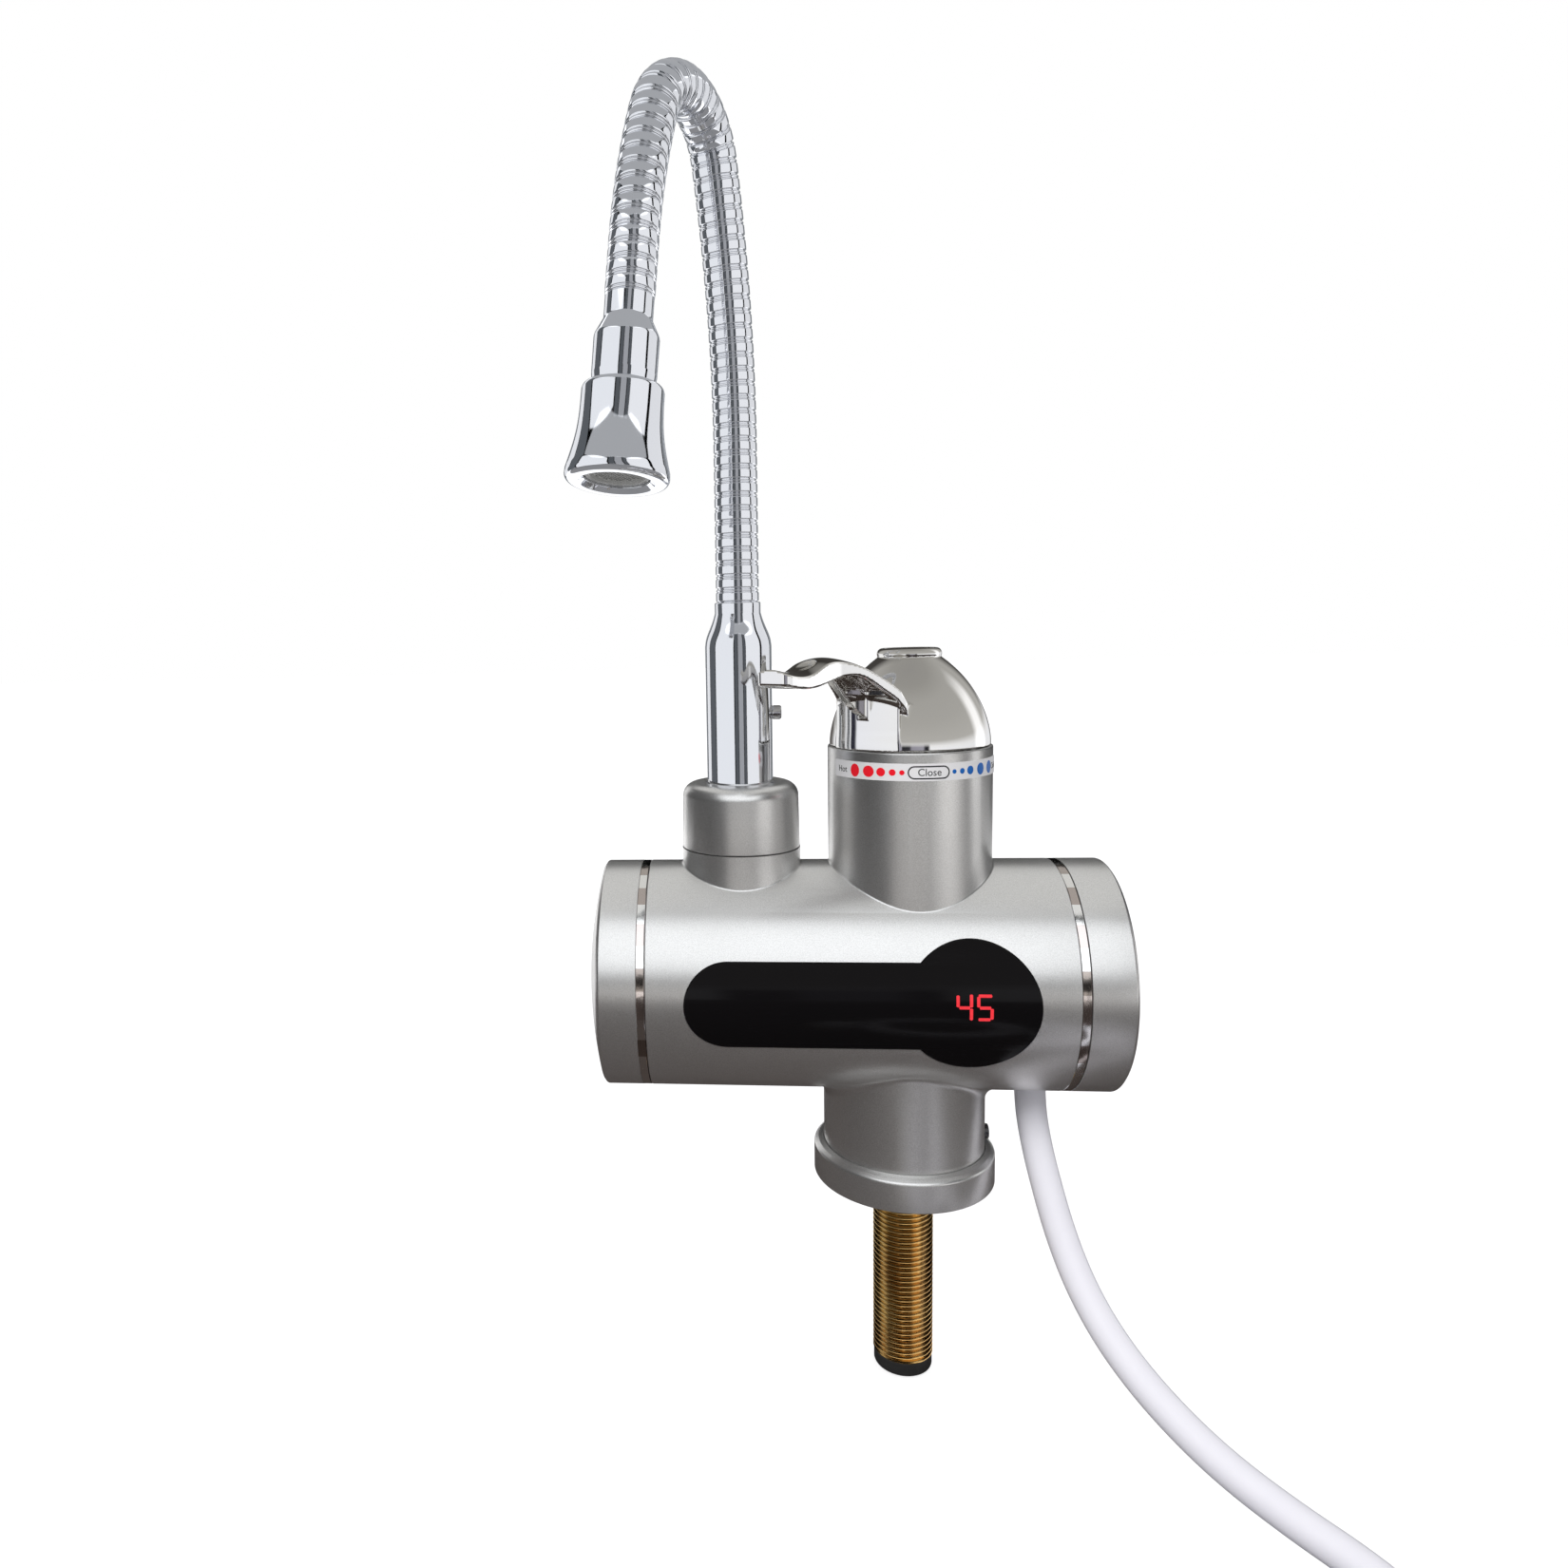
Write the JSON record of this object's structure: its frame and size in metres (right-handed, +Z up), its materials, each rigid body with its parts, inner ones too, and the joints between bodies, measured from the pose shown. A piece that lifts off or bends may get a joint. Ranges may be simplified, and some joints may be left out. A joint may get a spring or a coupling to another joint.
{
  "type": "electric water heater tap",
  "caption": "Instant water heater tap: barrel housing with a display on a round pedestal, turning lever and swivelling gooseneck spout of ribbed hose.",
  "frame": {"origin": "middle of the base flange's underside, on the threaded shank's axis, where the tap stands on the deck", "axes": "+Z up along the shank's axis out of the deck, +X along the barrel to the display's right-hand side as seen from the front, -Y to the front"},
  "size_m": [0.2403, 0.2771, 0.4379],
  "materials": {
    "silver_case": "satin silver sprayed plastic",
    "trim": "bright foil ring",
    "lens": "gloss black window",
    "board": "varnished circuit board",
    "digits": "dark red filter",
    "band": "printed band",
    "rubber_black": "matt",
    "brass": "machined",
    "dark_screw": "blackened",
    "white_moulding": "moulded",
    "steel": "bright steel",
    "chrome": "polished",
    "relay": "moulded",
    "black_moulding": "moulded",
    "ceramic": "ground ceramic",
    "seal": "matt",
    "cord": "white sheath",
    "aerator": "pale mesh"
  },
  "bodies": {
    "housing": {"barrel_shell": "silver_case", "left_end_cap": "silver_case", "right_end_cap": "silver_case", "left_trim_ring": "trim", "right_trim_ring": "trim", "display_lens": "lens", "display_board": "board", "digit_display": "digits", "scale_band": "band", "base_flange": "silver_case", "base_gasket": "rubber_black", "inlet_shank": "brass", "shank_end_seal": "rubber_black", "neck_screw": "dark_screw", "water_body": "white_moulding", "chamber_cover": "white_moulding", "chamber_seal": "seal", "heating_element": "steel", "element_terminals": "steel", "power_board": "board", "power_relay": "relay", "thermal_cutout": "steel", "temperature_probe": "steel", "flow_diaphragm": "seal", "flow_switch_cover": "white_moulding", "flow_return_spring": "steel", "microswitch": "black_moulding", "terminal_block": "white_moulding", "terminal_screws": "steel", "cartridge_body": "white_moulding", "cartridge_seals": "seal", "ceramic_disc_fixed": "ceramic", "cartridge_nut": "brass", "spout_collar": "silver_case", "cord_gland": "black_moulding", "mains_cord": "cord", "cord_coil": "cord", "cord_tie": "black_moulding", "plug_body": "cord", "plug_pins": "brass"},
    "lever": {"handle": "chrome", "handle_cap": "chrome", "handle_screw": "steel", "spindle": "brass", "ceramic_disc_turning": "ceramic"},
    "spout": {"spout_tube": "chrome", "spout_seals": "seal", "spout_stud": "dark_screw", "gooseneck_hose": "chrome", "outlet_ferrule": "chrome"},
    "outlet": {"outlet_bell": "chrome", "aerator_insert": "aerator", "aerator_washer": "seal"},
    "flow_pin": {"flow_push_pin": "white_moulding"}
  },
  "joints": [
    {"name": "handle_turn", "type": "hinge", "parent": "housing", "child": "lever", "pos_m": [0.0018, 0, 0.16], "axis": [0, 0, 1], "range_deg": [-19.5, 110.5]},
    {"name": "spout_swivel", "type": "hinge", "parent": "housing", "child": "spout", "pos_m": [-0.0558, 0, 0.12], "axis": [0, 0, 1], "continuous": true},
    {"name": "outlet_turn", "type": "hinge", "parent": "spout", "child": "outlet", "pos_m": [-0.0869, -0.06377, 0.26566], "axis": [-0.0806, -0.1653, -0.9829], "continuous": true},
    {"name": "flow_pin_slide", "type": "slide", "parent": "housing", "child": "flow_pin", "axis": [0, 0, 1], "range_m": [0, 0.0011], "stiffness_N_per_m": 400, "deforming": ["flow_return_spring"]}
  ]
}
